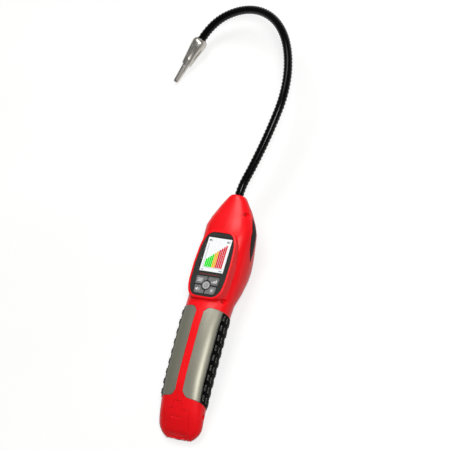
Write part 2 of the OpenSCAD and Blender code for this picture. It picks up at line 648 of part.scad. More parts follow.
module case_screws() color([0.6, 0.6, 0.62]) lie() for (s = screws) {
    along_x(s, -10, side_x(s) + 0.2, screw_r);
    difference() {
        along_x(s, side_x(s), side_x(s) + 1.9, screw_head_r);
        for (a = [0, 90]) translate([side_x(s) + 1, s[0], s[1]]) rotate([a, 0, 0])
            translate([0, -1.6, -0.35]) cube([2, 3.2, 0.7]);
    }
}

// Probe route in its own plane: [length, turn to the left in degrees]
probe_route = [[22, -21], [85, 11], [85, 43], [130, 80], [41, 41]];
probe_in = 14;        // length held inside the nose
probe_len = probe_in + sum([for (s = probe_route) s[0]]);
function sum(v, i = 0) = i < len(v) ? v[i] + sum(v, i + 1) : 0;
function arc_end(p, s, len) = let (a = s[1] * len / s[0], h = p[2])
    abs(s[1]) < 0.01 ? [p[0] + len * cos(h), p[1] + len * sin(h), h]
    : let (r = s[0] / s[1] * 180 / PI)
      [p[0] + r * (sin(h + a) - sin(h)), p[1] - r * (cos(h + a) - cos(h)), h + a];
probe_pieces = concat([[probe_in, 0]], probe_route);
function route_at(d, i = 0, p = [-probe_in, 0, 0]) =
    d <= probe_pieces[i][0] || i == len(probe_pieces) - 1 ? arc_end(p, probe_pieces[i], d)
    : route_at(d - probe_pieces[i][0], i + 1, arc_end(p, probe_pieces[i], probe_pieces[i][0]));
probe_end = route_at(probe_len);
tip_len = cone_len + nozzle_len;
nozzle_r = 3;         // at the inlet; the nozzle widens towards the tip
// The plane of the probe droops sideways until the nozzle's end lies on the table
exit_y = body_len - 1;
exit_up = (exit_y - full_y) * sin(rest_tilt) + (exit_z + head_back - rest_sink) * cos(rest_tilt);
tip_a = probe_end[0] + tip_len * cos(probe_end[2]);
tip_b = probe_end[1] + tip_len * sin(probe_end[2]);
droop = asin((exit_up + tip_a * sin(rest_tilt) - nozzle_r * 0.84) / (tip_b * cos(rest_tilt)));
side_dir = [-cos(droop), 0, -sin(droop)];
up_dir = [-sin(droop), 0, cos(droop)];
function probe_at(p) = [0, exit_y, exit_z] + p[0] * [0, 1, 0] + p[1] * side_dir;
function heading(h) = cos(h) * [0, 1, 0] + sin(h) * side_dir;
function left_of(h) = cos(h) * side_dir - sin(h) * [0, 1, 0];
probe_sides = 8;
module gooseneck() color([0.03, 0.03, 0.03]) lie() {
    n = 2 * probe_ribs;
    rings([for (j = [0 : n]) let (p = route_at(probe_len * j / n), r = probe_r - (j % 2) * groove)
        [for (k = [0 : probe_sides - 1]) let (a = 360 * k / probe_sides)
            probe_at(p) + r * (cos(a) * left_of(p[2]) + sin(a) * up_dir)]]);
}
module neck_ferrule() color([0.75, 0.7, 0.5]) lie() on_axis(ferrule_low, exit_z) difference() {
    cylinder(r = ferrule_r, h = ferrule_len, $fn = 48);
    translate([0, 0, exit_y - probe_in - ferrule_low - 0.05]) cylinder(r = probe_r + 0.05, h = 60, $fn = 48);
    translate([0, 0, -1]) cylinder(r = hose_r - 0.4, h = 60, $fn = 24);
}

// The sensor tip's own frame: origin at the probe's end, Z along it
module at_tip() {
    h = probe_end[2];
    o = probe_at(probe_end);
    x = left_of(h);
    z = heading(h);
    y = cross(z, x);
    multmatrix([for (i = [0 : 2]) [x[i], y[i], z[i], o[i]]]) children();
}
adapter_r = 6;
adapter_len = 12;
module tip_adapter() color([0.7, 0.7, 0.68]) lie() at_tip() difference() {
    translate([0, 0, 0.02]) cylinder(r = adapter_r, h = adapter_len, $fn = 40);
    translate([0, 0, -1]) cylinder(r = inlet_r, h = adapter_len + 3, $fn = 24);
}
shoulder = 5;
cone_end_r = 5.8;
flutes = 8;
flute_r = 4.5;
flute_bow = 42;       // radius of the flute's lengthwise curve
flute_depth = 1.2;
flute_lean = atan((cone_r - cone_end_r) / (cone_len - shoulder - 3));
flute_at = [(cone_r + cone_end_r) / 2 + 0.5, (cone_len + shoulder + 3) / 2 - 3];
filter_low = adapter_len + 0.65;
filter_t = 0.9;
cone_lap = 0.6;
module tip_cone() color([0.72, 0.71, 0.68]) lie() at_tip() difference() {
    rotate_extrude($fn = 72) difference() {
        polygon(concat([[0, cone_lap]],
            [for (k = [0 : 6]) let (a = 15 * k)
                [cone_r - 3 + 3 * sin(a), cone_lap + shoulder - shoulder * cos(a)]],
            [[cone_r - 0.2, cone_lap + shoulder + 3], [cone_end_r, cone_len], [0, cone_len]]));
        translate([-1, -1]) square([adapter_r + fit + 1, filter_low + filter_t + 1.05]);
        translate([-1, -1]) square([nozzle_r + seat + 1, cone_len + 5]);
    }
    for (k = [0 : flutes - 1]) rotate([0, 0, k * 360 / flutes]) translate([flute_at[0], 0, flute_at[1]])
        rotate([0, -flute_lean, 0]) translate([flute_bow + flute_r - flute_depth, 0, 0]) rotate([90, 0, 0])
        rotate([0, 0, 150]) rotate_extrude(angle = 60, $fn = 96)
        translate([flute_bow, 0]) circle(r = flute_r, $fn = 48);
}
nozzle_low = cone_len - 10;
nozzle_flare = 1;
module tip_nozzle() color([0.72, 0.71, 0.68]) lie() at_tip() difference() {
    rotate_extrude($fn = 48) difference() {
        polygon([[0, nozzle_low], [nozzle_r, nozzle_low], [nozzle_r, cone_len],
                 [nozzle_r + nozzle_flare, cone_len], [nozzle_r, tip_len - 2],
                 [nozzle_r - 0.4, tip_len], [0, tip_len]]);
        translate([-1, nozzle_low - 1]) square([inlet_r + 1, tip_len]);
    }
    for (k = [0 : 5]) rotate([0, 0, 60 * k]) translate([nozzle_r + nozzle_flare + 0.4, 0, cone_len + 1])
        cylinder(r = 1.05, h = nozzle_len * 0.55, $fn = 24);
}
module tip_filter() color([0.95, 0.95, 0.92]) lie() at_tip() difference() {
    translate([0, 0, filter_low]) cylinder(r = adapter_r + 0.2, h = filter_t, $fn = 40);
    translate([0, 0, adapter_len - 1]) cylinder(r = 0.8, h = 4, $fn = 24);
}

housing_right();
housing_left();
panel_right();
panel_left();
grip_right();
grip_left();
battery_door();
heel_contact();
bezel();
display_window();
lcd_module();
key_power();
key_top_left();
key_top_right();
key_bottom_left();
key_bottom_right();
main_board();
tact_switches();
buzzer();
pump_head();
pump_motor();
sensor_cell();
sample_hose();
pump_hose();
side_insert_right();
side_insert_left();
battery_sleeve();
battery_cell_lower();
battery_cell_upper();
battery_spring();
charge_socket();
case_screws();
gooseneck();
neck_ferrule();
tip_adapter();
tip_cone();
tip_nozzle();
tip_filter();
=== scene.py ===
# %% [markdown]
# # A handheld refrigerant leak detector
# The instrument lies on its back: a red moulded case with grey panels and rubber grips, a lit display
# in a raised face, and a ribbed gooseneck that ends in a metal sensor tip. The solids come from the
# construction model and are never moved. This lesson gives them their finishes and adds what is printed
# or lit on them.

# %% Load the construction model
import json
import math

import bmesh
import bpy
from mathutils import Matrix, Vector


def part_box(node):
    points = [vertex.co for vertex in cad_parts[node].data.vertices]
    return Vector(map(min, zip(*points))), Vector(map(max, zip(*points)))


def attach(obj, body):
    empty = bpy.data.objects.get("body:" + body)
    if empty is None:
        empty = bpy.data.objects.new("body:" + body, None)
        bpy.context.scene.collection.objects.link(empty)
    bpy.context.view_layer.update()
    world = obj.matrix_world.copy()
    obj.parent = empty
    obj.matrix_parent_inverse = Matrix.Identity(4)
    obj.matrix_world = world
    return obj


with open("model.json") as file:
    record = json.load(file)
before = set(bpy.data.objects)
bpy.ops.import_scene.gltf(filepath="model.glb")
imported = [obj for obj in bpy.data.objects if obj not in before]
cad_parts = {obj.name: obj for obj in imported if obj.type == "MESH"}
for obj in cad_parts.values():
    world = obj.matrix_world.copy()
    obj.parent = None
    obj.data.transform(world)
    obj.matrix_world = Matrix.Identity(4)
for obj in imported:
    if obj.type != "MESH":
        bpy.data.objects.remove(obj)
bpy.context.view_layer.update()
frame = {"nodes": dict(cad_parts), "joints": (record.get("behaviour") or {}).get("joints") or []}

nodes = frame["nodes"]
joints = {joint["name"]: joint for joint in frame["joints"]}
MM = 0.001
print("nodes:", len(nodes), "joints:", len(joints))

# %% [markdown]
# ## Two frames to work in
# The handle leans nose-up by a few degrees because the head is deeper than the handle. What lies on the
# face is easiest to place in the face's own frame, and the camera in the handle's. The two angles could
# be typed in, but the joints already hold them: the battery door slides along the handle, and the keys
# travel straight into the face. Read from there, the two frames stay true when the model's tilt
# changes.

# %% Handle frame and face frame
along = -Vector(joints["battery_door_slide"]["axis"])
across = Vector((1, 0, 0))
outward = across.cross(along)
HEAD_REST_MM = (0, 200, -34.4)  # the flat under the head, in the handle's own millimetres


def handle_direction(x, y, z):
    """A direction given along the handle's own axes, in the model's frame."""
    return across * x + along * y + outward * z


def handle_point(x, y, z):
    """A point given in millimetres from the heel's centre, in the model's frame."""
    return handle_direction(x - HEAD_REST_MM[0], y - HEAD_REST_MM[1], z - HEAD_REST_MM[2]) * MM


face_normal = -Vector(joints["key_power_press"]["axis"])
face_up = face_normal.cross(across)
WINDOW_MIDDLE_MM = 1.3  # the window's middle lies this far below the rim
window_low, window_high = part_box("display_window")
face_centre = (window_low + window_high) / 2 + face_normal * WINDOW_MIDDLE_MM * MM
face_frame = Matrix((across, face_up, face_normal)).transposed().to_4x4()
face_frame.translation = face_centre
print("face centre (mm):", [round(v / MM, 1) for v in face_centre])

# %% [markdown]
# ## Colour and node helpers
# Colours are picked as sRGB hex values, but shaders work in linear light, so one function converts. Nodes
# could be made and linked one call at a time. A second small function does it in one go: it adds a node,
# sets its properties and fills or links its inputs, so each finish below stays short. Patterns are sized
# in millimetres: a noise texture with scale s repeats about every 1/s metres.

# %% Colours and nodes


def linear(hex_colour):
    """An sRGB hex colour as linear RGBA."""
    channels = [int(hex_colour[i:i + 2], 16) / 255 for i in (1, 3, 5)]
    return [c / 12.92 if c <= 0.04045 else ((c + 0.055) / 1.055) ** 2.4 for c in channels] + [1.0]


def add_node(tree, kind, inputs=None, **settings):
    """Adds a node; inputs maps a socket's name or number to a value or to the socket that feeds it."""
    node = tree.nodes.new(kind)
    for name, value in settings.items():
        setattr(node, name, value)
    for name, value in (inputs or {}).items():
        if isinstance(value, bpy.types.NodeSocket):
            tree.links.new(value, node.inputs[name])
        else:
            node.inputs[name].default_value = value
    return node


def per_mm(size_mm):
    """Texture scale for a pattern whose features are size_mm wide, in object coordinates of metres."""
    return 1 / (size_mm * MM)


print("mid grey in linear light:", round(linear("#808080")[0], 3))

# %% [markdown]
# ## What most finishes share
# Moulded, sprayed and printed surfaces are never one even colour and never quite smooth. Both could be
# painted in an image, but that needs an unwrapped mesh. Here a noise in the object's own coordinates
# mixes two close colours, and a finer noise raises a shallow grain. Where an edge should look rounded,
# a bevel node bends the shading over it and leaves the mesh alone.

# %% Start of a finish, mottle and grain
MOTTLE_RANGE = (0.35, 0.65)  # most of a noise's values lie between these two
EDGE_SAMPLES = 6


def start_finish(name, roughness, ior=None, metallic=0.0, specular=None):
    """A material with its constants set, and what its patterns need: tree, shader, coordinates."""
    material = bpy.data.materials.new(name)
    material.use_nodes = True
    tree = material.node_tree
    shader = tree.nodes["Principled BSDF"]
    constants = {"Roughness": roughness, "Metallic": metallic, "IOR": ior, "Specular IOR Level": specular}
    for socket, value in constants.items():
        if value is not None:
            shader.inputs[socket].default_value = value
    place = add_node(tree, "ShaderNodeTexCoord").outputs["Object"]
    return material, tree, shader, place


def mottle(tree, place, shader, colours, size_mm, detail=3.0):
    """Feeds the base colour with two close colours mixed by a noise of that size."""
    noise = add_node(tree, "ShaderNodeTexNoise",
                     {"Vector": place, "Scale": per_mm(size_mm), "Detail": detail})
    ramp = add_node(tree, "ShaderNodeValToRGB", {"Fac": noise.outputs["Fac"]})
    for i in range(2):
        ramp.color_ramp.elements[i].position = MOTTLE_RANGE[i]
        ramp.color_ramp.elements[i].color = linear(colours[i])
    tree.links.new(ramp.outputs["Color"], shader.inputs["Base Color"])
    return noise, ramp


def grain(tree, place, shader, size_mm, depth_mm, edge_mm=0.0):
    """Feeds the normal with a moulded or sprayed grain, over edges rounded by edge_mm."""
    noise = add_node(tree, "ShaderNodeTexNoise",
                     {"Vector": place, "Scale": per_mm(size_mm), "Detail": 2.0})
    bump = add_node(tree, "ShaderNodeBump",
                    {"Height": noise.outputs["Fac"], "Strength": 1.0, "Distance": depth_mm * MM})
    if edge_mm:
        edge = add_node(tree, "ShaderNodeBevel", {"Radius": edge_mm * MM}, samples=EDGE_SAMPLES)
        tree.links.new(edge.outputs["Normal"], bump.inputs["Normal"])
    tree.links.new(bump.outputs["Normal"], shader.inputs["Normal"])


print("a grain of 0.5 mm has the texture scale", round(per_mm(0.5)))

# %% [markdown]
# ## The case: injection-moulded ABS
# The case halves and the battery door are red ABS, injection-moulded in a spark-eroded steel mould. Its
# satin skin has a grain of about 0.1 mm, which spreads the highlights so far that the red looks almost
# even. The grain could be modelled, but a bump in the shading looks the same from here. It is drawn at
# 0.5 mm, since the real one is too fine to see. Moulded edges are never knife sharp, so the shading
# rounds them by half a millimetre and each edge carries a thin soft line of light. The heads of the
# case screws are baked with a red lacquer, so they hardly show at the bottom of their holes.

# %% Red ABS and red lacquer
# Satin and nearly even: the fine grain scatters much of the gloss.
red_abs, tree, shader, place = start_finish(
    "red_abs_moulded_satin", roughness=0.3, ior=1.53, specular=0.25)
mottle(tree, place, shader, ("#fa121a", "#ff161f"), size_mm=35)
grain(tree, place, shader, size_mm=0.5, depth_mm=0.012, edge_mm=0.5)

# A shade darker than the case and slightly lumpy, as baked lacquer is on a small head.
red_lacquer, tree, shader, place = start_finish("red_lacquer_baked_on_steel", roughness=0.4)
mottle(tree, place, shader, ("#d40e16", "#e0121a"), size_mm=2)
grain(tree, place, shader, size_mm=0.6, depth_mm=0.02, edge_mm=0.2)
print("finishes:", red_abs.name, red_lacquer.name)

# %% [markdown]
# ## Front panels: sprayed lacquer
# The front panels are plastic sprayed with a warm grey metallic lacquer. Its fine flakes lie nearly
# flat, so a wide cream band of light runs along the panel and its sides fall off to a darker grey. Each
# flake could have a normal of its own, but a shader that is partly metallic gives the same band with
# less noise. The flakes are drawn at 0.7 mm, coarser than real ones, so that they show.

# %% Grey lacquer
# A broad cream band that fades to grey, because the flakes mirror a lamp only where they face it.
grey_lacquer, tree, shader, place = start_finish(
    "grey_metallic_lacquer_sprayed", roughness=0.4, metallic=0.45, specular=0.25)
mottle(tree, place, shader, ("#8c8a7c", "#969486"), size_mm=0.7, detail=1.0)
grain(tree, place, shader, size_mm=0.4, depth_mm=0.006, edge_mm=0.3)
shader.inputs["Specular Tint"].default_value = linear("#6a6a66")  # keeps a grazing view dark
print("finish:", grey_lacquer.name)

# %% [markdown]
# ## Side grips: moulded rubber
# The grips are black thermoplastic rubber moulded over the case: matt, with a fine grain. The edges of
# the ribs get a painted highlight, a paler grey in their colour that stands in for the light they catch.
# It could be painted rib by rib. Here the shader finds the edges: it compares the true normal with one
# that is rounded over the edge, and where the two disagree, there is an edge.

# %% Black rubber
# Deep matt black with short painted highlights along the ribs: rubber scatters most of what it reflects.
HIGHLIGHT_REACH_MM = 0.6  # how far in from an edge the painted highlight reaches
NO_PAINTED_HIGHLIGHT, FULL_PAINTED_HIGHLIGHT = 0.985, 0.92  # how well the two normals agree; 1 is flat
HIGHLIGHT_EDGE_SAMPLES = 8
black_rubber, tree, shader, place = start_finish(
    "black_thermoplastic_rubber_moulded", roughness=0.55, ior=1.52, specular=0.03)
_, ramp = mottle(tree, place, shader, ("#030303", "#070707"), size_mm=6)
grain(tree, place, shader, size_mm=0.45, depth_mm=0.02, edge_mm=0.25)
# Painted highlight: a mask of the rib edges mixes a pale grey (#8f8f88) into the black base colour.
rounded = add_node(tree, "ShaderNodeBevel", {"Radius": HIGHLIGHT_REACH_MM * MM}, samples=HIGHLIGHT_EDGE_SAMPLES)
facing = add_node(tree, "ShaderNodeNewGeometry")
agree = add_node(tree, "ShaderNodeVectorMath",
                 {0: rounded.outputs["Normal"], 1: facing.outputs["True Normal"]},
                 operation="DOT_PRODUCT")
painted_highlight_mask = add_node(tree, "ShaderNodeMapRange",
                  {"Value": agree.outputs["Value"], "From Min": NO_PAINTED_HIGHLIGHT, "From Max": FULL_PAINTED_HIGHLIGHT})
painted_highlight_colour = add_node(tree, "ShaderNodeMix",
                 {0: painted_highlight_mask.outputs["Result"], 6: ramp.outputs["Color"], 7: linear("#8f8f88")},
                 data_type="RGBA")
tree.links.new(painted_highlight_colour.outputs[2], shader.inputs["Base Color"])
print("finish:", black_rubber.name)

# %% [markdown]
# ## Face: bezel, window and keys
# The bezel is charcoal polycarbonate with a fine satin grain that keeps lamp reflections off the
# display. The window is cast acrylic, polished, with a faint haze from wiping that only shows in its
# reflections. A see-through mix could stand in for it, but the solid has both faces of the window, so
# true transmission is as easy and bends the light as it should. The keys are moulded silicone rubber,
# slightly chalky, with soft edges.

# %% Bezel and window
# Almost black, with a wide dull sheen.
bezel_plastic, tree, shader, place = start_finish(
    "charcoal_polycarbonate_moulded", roughness=0.42, ior=1.58, specular=0.25)
mottle(tree, place, shader, ("#232724", "#2a2e2b"), size_mm=12)
grain(tree, place, shader, size_mm=0.4, depth_mm=0.01, edge_mm=0.3)

# Clear, with sharp reflections that soften a little where the window was wiped.
WIPE_MM = 9
WIPED_ROUGHNESS = 0.012
# The haze takes over from this roughness, which is typical of polished acrylic.
clear_acrylic, tree, shader, place = start_finish("clear_acrylic_polished", roughness=0.02, ior=1.49)
shader.inputs["Base Color"].default_value = linear("#fafcfd")
shader.inputs["Transmission Weight"].default_value = 1.0
haze = add_node(tree, "ShaderNodeTexNoise", {"Vector": place, "Scale": per_mm(WIPE_MM), "Detail": 2.0})
wiped = add_node(tree, "ShaderNodeMapRange",
                 {"Value": haze.outputs["Fac"], "To Min": 0.0, "To Max": WIPED_ROUGHNESS})
tree.links.new(wiped.outputs["Result"], shader.inputs["Roughness"])
print("finishes:", bezel_plastic.name, clear_acrylic.name)

# %% Keys
# Chalky mid grey, on which pale print stands out.
key_silicone, tree, shader, place = start_finish("grey_silicone_rubber_moulded", roughness=0.55, ior=1.41)
mottle(tree, place, shader, ("#6d6d6d", "#777777"), size_mm=5)
grain(tree, place, shader, size_mm=0.35, depth_mm=0.01, edge_mm=0.3)

# The same rubber in a paler grey, on which dark print stands out.
round_key_silicone, tree, shader, place = start_finish(
    "pale_silicone_rubber_moulded", roughness=0.5, ior=1.41)
mottle(tree, place, shader, ("#adadad", "#b7b7b7"), size_mm=4)
grain(tree, place, shader, size_mm=0.35, depth_mm=0.01, edge_mm=0.3)
print("finishes:", key_silicone.name, round_key_silicone.name)

# %% [markdown]
# ## The lit display
# The display is a backlit colour panel, so its picture shines by itself, at about the level of white
# paper. A grid of darker lines parts its pixels. Real pixels are about 0.15 mm; they are drawn at 0.4
# mm so that a close view shows them. An image could hold the whole picture, but one lit finish for each
# colour stays sharp at any size. The panel is bonded to the window, so its own face has no gloss.

# %% Display colours
PIXEL_MM = 0.4
GAP_WIDTH = 0.06  # as a share of a pixel
GAP_LIGHT = 0.75  # as a share of the pixel's light
LIT_STRENGTH, WHITE_STRENGTH = 1.05, 1.12  # white paper is 1


def lit_finish(name, hex_colour, strength=LIT_STRENGTH):
    """A colour of the backlit display, parted into pixels."""
    material, tree, shader, place = start_finish(name, roughness=0.5, specular=0.0)
    shader.inputs["Base Color"].default_value = linear("#101010")
    shader.inputs["Emission Strength"].default_value = strength
    colour = linear(hex_colour)
    gap_colour = [GAP_LIGHT * channel for channel in colour[:3]] + [1.0]
    pixels = add_node(tree, "ShaderNodeTexBrick",
                      {"Vector": place, "Scale": per_mm(PIXEL_MM), "Color1": colour, "Color2": colour,
                       "Mortar": gap_colour, "Mortar Size": GAP_WIDTH, "Brick Width": 1.0,
                       "Row Height": 1.0}, offset=0.0)
    tree.links.new(pixels.outputs["Color"], shader.inputs["Emission Color"])
    return material


lit_white = lit_finish("display_white_backlit", "#ffffff", WHITE_STRENGTH)
lit_green = lit_finish("display_green_backlit", "#0af205")
lit_amber = lit_finish("display_amber_backlit", "#ffc62a")
lit_red = lit_finish("display_red_backlit", "#ea1030")
lit_grey = lit_finish("display_grey_backlit", "#8a8a96")
lit_dark = lit_finish("display_dark_backlit", "#3c3c40")
lit_names = [material.name for material in bpy.data.materials if material.name.endswith("_backlit")]
print("display colours:", len(lit_names), "in pixels of", PIXEL_MM, "mm")

# %% [markdown]
# ## Printed marks
# The marks on the bezel and keys are pad-printed: a soft pad stamps on a thin coat of ink, which dries
# matt and a little uneven. It could be a coloured area of the plastic below, but print has its own
# thickness and its own gloss, so it gets a finish of its own.

# %% Ink


def printed_ink(name, colours, patch_mm):
    """Matt ink with slightly thinner patches of that size."""
    material, tree, shader, place = start_finish(name, roughness=0.5)
    mottle(tree, place, shader, colours, size_mm=patch_mm)
    return material


printed_red = printed_ink("dark_red_ink_printed", ("#8c1016", "#981418"), patch_mm=3)
printed_pale = printed_ink("pale_grey_ink_printed", ("#dcdcdc", "#e6e6e6"), patch_mm=1)
printed_dark = printed_ink("dark_grey_ink_printed", ("#4a4a4a", "#565656"), patch_mm=1)
print("inks:", printed_red.name, printed_pale.name, printed_dark.name)

# %% [markdown]
# ## Probe and metals
# The gooseneck is a coiled steel core in a black ribbed polymer sleeve, extruded and rolled. Each
# smooth rib catches a small point of light, and together they make the line that follows the bend. The
# ribs are in the solid, so the finish only has to get the gloss right. The sensor tip is turned from
# brass, nickel-plated and brushed along its length, so it shows bright and dark bands side by side. An
# anisotropic shader turns about one of an object's own axes, and the tip points another way, so a noise
# that is drawn out along the tip's axis makes the streaks instead. They are wider than real brush
# marks, which would be too fine to show.

# %% Probe sleeve
# Deep black with a thin line of light: soft polymer reflects weakly.
probe_polymer, tree, shader, place = start_finish(
    "black_polymer_sleeve_extruded", roughness=0.19, ior=1.5, specular=0.12)
mottle(tree, place, shader, ("#040404", "#080808"), size_mm=8)
grain(tree, place, shader, size_mm=0.6, depth_mm=0.005)
print("finish:", probe_polymer.name)

# %% Metals with streaks
STREAK_MM, STREAK_LENGTH_MM, STREAK_DEPTH_MM = 0.35, 14, 0.01
STREAK_STRENGTH = 0.5
tip_axis = Vector(joints["sensor_tip_turn"]["axis"])


def brushed(name, colours, roughness, axis):
    """A metal with fine streaks along an axis: lengths along it count for less in the pattern."""
    material, tree, shader, place = start_finish(name, roughness=roughness, metallic=1.0)
    lengthwise = add_node(tree, "ShaderNodeVectorMath", {0: place, 1: axis}, operation="DOT_PRODUCT")
    shift = add_node(tree, "ShaderNodeVectorMath",
                     {0: axis, "Scale": lengthwise.outputs["Value"]}, operation="SCALE")
    cut = add_node(tree, "ShaderNodeVectorMath",
                   {0: shift.outputs["Vector"], "Scale": STREAK_MM / STREAK_LENGTH_MM - 1},
                   operation="SCALE")
    squeezed = add_node(tree, "ShaderNodeVectorMath",
                        {0: place, 1: cut.outputs["Vector"]}, operation="ADD")
    streaks, _ = mottle(tree, squeezed.outputs["Vector"], shader, colours, size_mm=STREAK_MM)
    bump = add_node(tree, "ShaderNodeBump",
                    {"Height": streaks.outputs["Fac"], "Strength": STREAK_STRENGTH,
                     "Distance": STREAK_DEPTH_MM * MM})
    tree.links.new(bump.outputs["Normal"], shader.inputs["Normal"])
    return material


# Warm silver, cool pale grey, darker grey and yellow, each with a soft glow along its streaks.
tip_nickel = brushed("nickel_plated_brass_brushed", ("#b4b0a9", "#d4d0c8"), 0.38, tip_axis)
cell_aluminium = brushed("aluminium_machined", ("#b4b6ba", "#c4c6ca"), 0.35, along)
plain_steel = brushed("steel_zinc_plated", ("#7c7e82", "#8e9094"), 0.35, across)
brass = brushed("brass_turned", ("#c8a45a", "#d8b46a"), 0.3, along)
print("tip axis:", [round(v, 3) for v in tip_axis])

# %% [markdown]
# ## Inside the case
# These pieces hardly show, but a section view or an opened battery door does show them: nylon
# mouldings, a circuit board under green solder mask, silicone hoses, shrink-wrapped cells and a felt
# filter. They could all stay one grey. Each gets the colour and gloss of its own material, so that it
# can be told apart.

# %% Inner finishes
# Coarse matt black, with hardly any reflection.
black_nylon, tree, shader, place = start_finish(
    "black_nylon_moulded", roughness=0.5, ior=1.53, specular=0.15)
mottle(tree, place, shader, ("#080808", "#0e0e0e"), size_mm=5)
grain(tree, place, shader, size_mm=0.5, depth_mm=0.02)

# Deep green and half glossy, with faint paler patches as over copper.
board_mask, tree, shader, place = start_finish("green_solder_mask_cured", roughness=0.35, ior=1.5)
mottle(tree, place, shader, ("#12502a", "#1a6234"), size_mm=2)
grain(tree, place, shader, size_mm=0.9, depth_mm=0.02)

# Milky and smooth, a little wavy from the extruder.
hose_silicone, tree, shader, place = start_finish("milky_silicone_extruded", roughness=0.35, ior=1.41)
mottle(tree, place, shader, ("#d8d8d0", "#e4e4dc"), size_mm=6)
grain(tree, place, shader, size_mm=1.2, depth_mm=0.01)

# Glossy blue film with the slight dents of shrinking.
cell_wrap, tree, shader, place = start_finish("blue_shrink_wrap_gloss", roughness=0.25, ior=1.54)
mottle(tree, place, shader, ("#1c4a8a", "#22529a"), size_mm=10)
grain(tree, place, shader, size_mm=3, depth_mm=0.03)

# Off-white and fibrous, without any gloss.
white_felt, tree, shader, place = start_finish("white_filter_felt_pressed", roughness=0.9, ior=1.5)
mottle(tree, place, shader, ("#e4e4de", "#f2f2ec"), size_mm=0.5)
grain(tree, place, shader, size_mm=0.3, depth_mm=0.08)
print("finishes:", len(bpy.data.materials))

# %% [markdown]
# ## Dressing the solids
# Each solid keeps its own mesh. Its triangles could be shaded flat, but then every curve would show
# facets. A weld modifier joins the corners that the file stores once for each triangle, and an edge
# split keeps true edges crisp while the curved skins between them are shaded smooth.

# %% Which finish goes where
finish_of = {
    red_abs: ["housing_right", "housing_left", "battery_door"],
    grey_lacquer: ["panel_right", "panel_left"],
    black_rubber: ["grip_right", "grip_left"],
    bezel_plastic: ["bezel"],
    clear_acrylic: ["display_window"],
    lit_dark: ["lcd_module"],
    key_silicone: ["key_top_left", "key_top_right", "key_bottom_left", "key_bottom_right"],
    round_key_silicone: ["key_power"],
    probe_polymer: ["gooseneck"],
    tip_nickel: ["tip_cone", "tip_nozzle", "tip_adapter"],
    red_lacquer: ["case_screws"],
    plain_steel: ["battery_spring", "pump_motor"],
    brass: ["heel_contact", "neck_ferrule"],
    cell_aluminium: ["sensor_cell"],
    black_nylon: ["side_insert_right", "side_insert_left", "tact_switches", "buzzer", "pump_head",
                  "battery_sleeve", "charge_socket"],
    board_mask: ["main_board"],
    hose_silicone: ["sample_hose", "pump_hose"],
    cell_wrap: ["battery_cell_lower", "battery_cell_upper"],
    white_felt: ["tip_filter"],
}
listed = sum(len(names) for names in finish_of.values())
print("listed", listed, "of", len(nodes), "solids")

# %% Dress every solid
SMOOTH_BELOW = math.radians(32)
RIB_SMOOTH_BELOW = math.radians(70)  # the gooseneck's ribs are rounded all over
WELD_MM = 0.002
for finish, names in finish_of.items():
    for name in names:
        solid = nodes[name]
        solid.data.materials.clear()
        solid.data.materials.append(finish)
        solid.data.polygons.foreach_set("use_smooth", [True] * len(solid.data.polygons))
        weld = solid.modifiers.new("join_corners", "WELD")
        weld.merge_threshold = WELD_MM * MM
        split = solid.modifiers.new("keep_edges", "EDGE_SPLIT")
        split.split_angle = RIB_SMOOTH_BELOW if name == "gooseneck" else SMOOTH_BELOW
print("dressed:", sum(1 for solid in nodes.values() if "keep_edges" in solid.modifiers))

# %% [markdown]
# ## Flat marks on the face
# Print and display segments are layers with hardly any thickness. They could be images laid on the
# solids, but thin plates in the face's frame stay sharp and can ride on the keys. One function makes
# plates from outlines, another makes the outline of a line, so every symbol is a few short calls.

# %% Plates in the face frame
PRINT_MM = 0.04  # a plate's thickness


def plates(name, outlines, height_mm, finish, body):
    """Thin plates with these outlines, their undersides height_mm above the face's rim plane."""
    mesh = bpy.data.meshes.new(name)
    work = bmesh.new()
    for outline in outlines:
        corners = [work.verts.new((x * MM, y * MM, height_mm * MM)) for x, y in outline]
        sheet = work.faces.new(corners)
        raised = bmesh.ops.extrude_face_region(work, geom=[sheet])["geom"]
        lifted = [part for part in raised if isinstance(part, bmesh.types.BMVert)]
        bmesh.ops.translate(work, verts=lifted, vec=(0, 0, PRINT_MM * MM))
    bmesh.ops.recalc_face_normals(work, faces=work.faces)
    work.to_mesh(mesh)
    work.free()
    piece = bpy.data.objects.new(name, mesh)
    bpy.context.scene.collection.objects.link(piece)
    piece.matrix_world = face_frame
    mesh.materials.append(finish)
    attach(piece, body)
    print(name + ":", len(outlines), "plates on", body)


# %% Outlines of boxes, lines and arcs


def box_outline(x0, y0, x1, y1):
    """A rectangle between two opposite corners."""
    return [(x0, y0), (x1, y0), (x1, y1), (x0, y1)]


def stroke(points, width):
    """The outline of a line of that width through the points."""
    left, right = [], []
    for i, (x, y) in enumerate(points):
        before = points[max(i - 1, 0)]
        after = points[min(i + 1, len(points) - 1)]
        dx, dy = after[0] - before[0], after[1] - before[1]
        length = math.hypot(dx, dy)
        nx, ny = -dy / length * width / 2, dx / length * width / 2
        left.append((x + nx, y + ny))
        right.append((x - nx, y - ny))
    return left + right[::-1]


def arc(cx, cy, radius, start_deg, end_deg, steps=20):
    """Points along an arc, counted anticlockwise from the right."""
    angles = [math.radians(start_deg + (end_deg - start_deg) * i / steps) for i in range(steps + 1)]
    return [(cx + radius * math.cos(a), cy + radius * math.sin(a)) for a in angles]


# The outline of a small loudspeaker, about 2 across, for the display and for a key.
horn = [(-1.2, -0.5), (-0.4, -0.5), (0.5, -1.2), (0.5, 1.2), (-0.4, 0.5), (-1.2, 0.5)]


def horn_outline(cx, cy, size):
    """The loudspeaker, size times as large, about that point."""
    return [(cx + size * x, cy + size * y) for x, y in horn]


print("a half circle has", len(arc(0, 0, 1, 0, 180)), "points")

# %% [markdown]
# ## The display picture
# The detector shows how strong the leak is as a rising bar graph: green, then amber, then red. A scale
# runs up the left side, with small signs in the corners. The bars could be placed one by one, but a
# count, a pitch and one straight rise give them all. A bar's width sets the white gap beside it, which
# differs a little between the colours.

